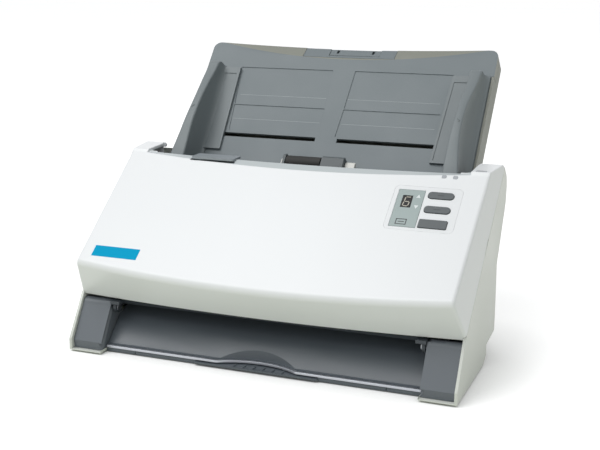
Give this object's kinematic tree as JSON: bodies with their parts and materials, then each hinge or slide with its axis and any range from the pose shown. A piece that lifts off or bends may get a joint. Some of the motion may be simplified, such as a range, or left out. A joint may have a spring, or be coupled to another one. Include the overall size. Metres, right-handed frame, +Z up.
{
  "type": "document scanner",
  "caption": "Desktop sheet-fed document scanner with a hinged white front cover, grey paper chute with sliding guides, output bay with a pull-out stop, and a button panel.",
  "frame": {"origin": "bottom centre of the box at rest, on the surface that the feet stand on", "axes": "+X runs to the right seen from the front and is the longest extent, +Y points to the back, +Z up"},
  "size_m": [0.318, 0.2438, 0.2307],
  "materials": {
    "white_cover": "gloss white",
    "white_case": "satin white",
    "rear_grey": "fine texture",
    "chute_grey": "fine spark texture",
    "guide_grey": "fine spark texture",
    "column_grey": "satin",
    "frame_dark": "matte",
    "tray_dark": "satin",
    "silver_strip": "brushed",
    "steel": "zinc plated",
    "roller_rubber": "matte rubber",
    "foot_rubber": "matte rubber",
    "gear_nylon": "acetal",
    "board_green": "solder mask",
    "socket_black": "moulded",
    "sensor_glass": "clear",
    "bezel_white": "gloss white",
    "label_grey": "satin print",
    "display_black": "smoked",
    "button_grey": "satin",
    "lamp_grey": "frosted",
    "clip_white": "moulded"
  },
  "bodies": {
    "base": {"lower_case": "white_case", "rear_cover": "rear_grey", "output_tray": "tray_dark", "tray_lip_strip": "silver_strip", "main_board": "board_green", "power_inlet": "socket_black", "usb_socket": "steel", "switch_housing": "socket_black", "drive_motor": "steel", "pick_belt": "roller_rubber", "left_end_column": "column_grey", "right_end_column": "column_grey", "left_frame_plate": "steel", "right_frame_plate": "steel", "front_foot_left": "foot_rubber", "front_foot_right": "foot_rubber", "rear_foot_left": "foot_rubber", "rear_foot_right": "foot_rubber", "lower_paper_guide": "frame_dark", "lower_sensor_glass": "sensor_glass", "lower_sensor_housing": "frame_dark", "paper_chute": "chute_grey", "chute_rear_cover": "chute_grey"},
    "cover": {"cover_shell": "white_cover", "cover_inner_frame": "frame_dark", "panel_bezel": "bezel_white", "label_plate": "label_grey", "display_window": "display_black", "panel_board": "board_green", "power_lamp": "lamp_grey", "status_lamp": "lamp_grey", "upper_sensor_glass": "sensor_glass", "upper_sensor_housing": "frame_dark", "separation_holder": "column_grey", "holder_clip_left": "clip_white", "holder_clip_right": "clip_white", "hinge_pin_left": "steel", "hinge_pin_right": "steel"},
    "latch": {"latch_bar": "steel", "release_lever": "column_grey"},
    "up_button": {"up_button": "button_grey"},
    "down_button": {"down_button": "button_grey"},
    "scan_button": {"scan_button": "button_grey"},
    "power_switch": {"power_switch": "socket_black"},
    "tray_extension": {"tray_extension": "tray_dark"},
    "chute_extension": {"chute_extension": "chute_grey"},
    "stop_flap": {"stop_flap": "chute_grey"},
    "left_guide": {"left_paper_guide": "guide_grey"},
    "right_guide": {"right_paper_guide": "guide_grey"},
    "guide_pinion": {"guide_pinion": "gear_nylon"},
    "feed_roller": {"feed_roller": "roller_rubber", "feed_gear": "gear_nylon"},
    "exit_roller": {"exit_roller": "roller_rubber", "exit_gear": "gear_nylon"},
    "idler_gear": {"idler_gear": "gear_nylon"},
    "motor_pinion": {"motor_pinion": "gear_nylon"},
    "pick_roller": {"pick_roller": "roller_rubber"},
    "feed_pinch_roller": {"feed_pinch_roller": "roller_rubber"},
    "exit_pinch_roller": {"exit_pinch_roller": "roller_rubber"},
    "separation_roller": {"separation_roller": "roller_rubber"}
  },
  "joints": [
    {"name": "cover_hinge", "type": "hinge", "parent": "base", "child": "cover", "pos_m": [0, -0.09609, 0.0335], "axis": [1, 0, 0], "range_deg": [0, 75]},
    {"name": "release_lever_turn", "type": "hinge", "parent": "cover", "child": "latch", "pos_m": [0, -0.00981, 0.11709], "axis": [1, 0, 0], "range_deg": [0, 6], "stiffness_Nm_per_rad": 0.3},
    {"name": "up_button_press", "type": "slide", "parent": "cover", "child": "up_button", "axis": [0, 0.596, -0.803], "range_m": [0, 0.0008], "stiffness_N_per_m": 600},
    {"name": "down_button_press", "type": "slide", "parent": "cover", "child": "down_button", "axis": [0, 0.596, -0.803], "range_m": [0, 0.0008], "stiffness_N_per_m": 600},
    {"name": "scan_button_press", "type": "slide", "parent": "cover", "child": "scan_button", "axis": [0, 0.596, -0.803], "range_m": [0, 0.0008], "stiffness_N_per_m": 600},
    {"name": "power_switch_rock", "type": "hinge", "parent": "base", "child": "power_switch", "pos_m": [-0.048, 0.02341, 0.01335], "axis": [0, 0, 1], "range_deg": [-10, 0]},
    {"name": "tray_extension_slide", "type": "slide", "parent": "base", "child": "tray_extension", "axis": [0, -1, 0], "range_m": [0, 0.085]},
    {"name": "chute_extension_slide", "type": "slide", "parent": "base", "child": "chute_extension", "axis": [0, 0.6534, 0.757], "range_m": [0, 0.058]},
    {"name": "stop_flap_turn", "type": "hinge", "parent": "chute_extension", "child": "stop_flap", "pos_m": [0, 0.10422, 0.22235], "axis": [1, 0, 0], "range_deg": [0, 90]},
    {"name": "left_guide_slide", "type": "slide", "parent": "base", "child": "left_guide", "axis": [1, 0, 0], "range_m": [0, 0.072]},
    {"name": "right_guide_slide", "type": "slide", "parent": "base", "child": "right_guide", "axis": [-1, 0, 0], "range_m": [0, 0.072]},
    {"name": "guide_pinion_spin", "type": "hinge", "parent": "base", "child": "guide_pinion", "pos_m": [0, 0.04539, 0.15319], "axis": [0, -0.757, 0.6534], "range_deg": [-620, 0]},
    {"name": "feed_roller_spin", "type": "hinge", "parent": "base", "child": "feed_roller", "pos_m": [0, -0.01155, 0.07896], "axis": [1, 0, 0], "continuous": true},
    {"name": "exit_roller_spin", "type": "hinge", "parent": "base", "child": "exit_roller", "pos_m": [0, -0.05292, 0.03409], "axis": [1, 0, 0], "continuous": true},
    {"name": "idler_gear_spin", "type": "hinge", "parent": "base", "child": "idler_gear", "pos_m": [0, -0.02823, 0.05282], "axis": [1, 0, 0], "continuous": true},
    {"name": "motor_pinion_spin", "type": "hinge", "parent": "base", "child": "motor_pinion", "pos_m": [0, -0.01283, 0.03312], "axis": [1, 0, 0], "continuous": true},
    {"name": "pick_roller_spin", "type": "hinge", "parent": "base", "child": "pick_roller", "pos_m": [0, 0.03002, 0.12894], "axis": [1, 0, 0], "continuous": true},
    {"name": "feed_pinch_spin", "type": "hinge", "parent": "cover", "child": "feed_pinch_roller", "pos_m": [0, -0.02358, 0.08934], "axis": [1, 0, 0], "continuous": true},
    {"name": "exit_pinch_spin", "type": "hinge", "parent": "cover", "child": "exit_pinch_roller", "pos_m": [0, -0.06344, 0.04317], "axis": [1, 0, 0], "continuous": true},
    {"name": "separation_roller_spin", "type": "hinge", "parent": "cover", "child": "separation_roller", "pos_m": [0, 0.01836, 0.13901], "axis": [1, 0, 0], "continuous": true}
  ],
  "couplings": [
    {"joint": "right_guide_slide", "follows": "left_guide_slide", "ratio": 1},
    {"joint": "guide_pinion_spin", "follows": "left_guide_slide", "rad_per_m": -142.86},
    {"joint": "exit_roller_spin", "follows": "feed_roller_spin", "ratio": 1},
    {"joint": "idler_gear_spin", "follows": "feed_roller_spin", "ratio": -0.63158},
    {"joint": "motor_pinion_spin", "follows": "feed_roller_spin", "ratio": 2},
    {"joint": "pick_roller_spin", "follows": "feed_roller_spin", "ratio": 1},
    {"joint": "feed_pinch_spin", "follows": "feed_roller_spin", "ratio": -1.8182},
    {"joint": "exit_pinch_spin", "follows": "feed_roller_spin", "ratio": -1.4545},
    {"joint": "separation_roller_spin", "follows": "feed_roller_spin", "ratio": -1.5}
  ]
}
